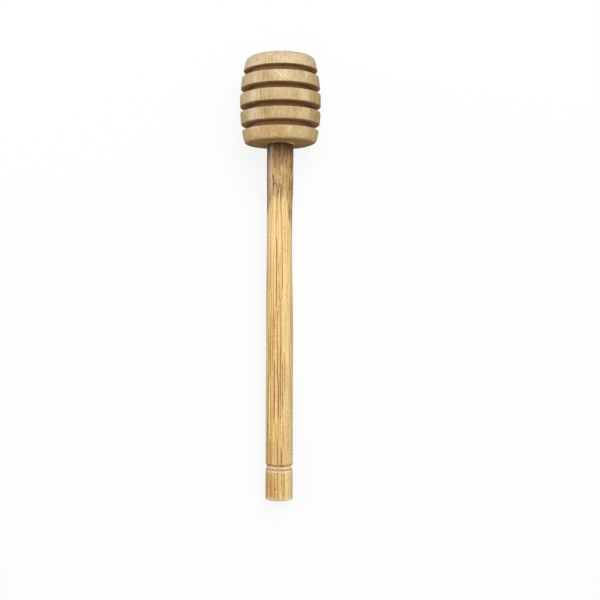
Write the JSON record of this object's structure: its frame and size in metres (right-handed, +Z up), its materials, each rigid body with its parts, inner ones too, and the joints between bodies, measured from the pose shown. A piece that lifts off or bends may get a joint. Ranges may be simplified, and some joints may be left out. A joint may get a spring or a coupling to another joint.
{
  "type": "honey dipper",
  "caption": "Honey dipper: a turned barrel-shaped wooden head with square-cut grooves, glued on the end of a slim bamboo handle with a ring cut near its free end.",
  "frame": {"origin": "centre of the dipper's box on the flat surface that it lies on", "axes": "+Z up; +Y along the surface towards the tip of the head; the dipper's own axis lies in the YZ plane and rises towards the head by about 4 degrees, because the head is thicker than the handle"},
  "size_m": [0.0294, 0.1606, 0.0296],
  "materials": {
    "head_wood": "turned pale hardwood, sanded, bare",
    "handle_bamboo": "round bamboo stick, lightly sanded, with long fibres showing",
    "dried_glue": "dried wood glue, cloudy"
  },
  "bodies": {
    "root": {"head": "head_wood", "handle": "handle_bamboo", "glue_joint": "dried_glue"}
  },
  "joints": []
}
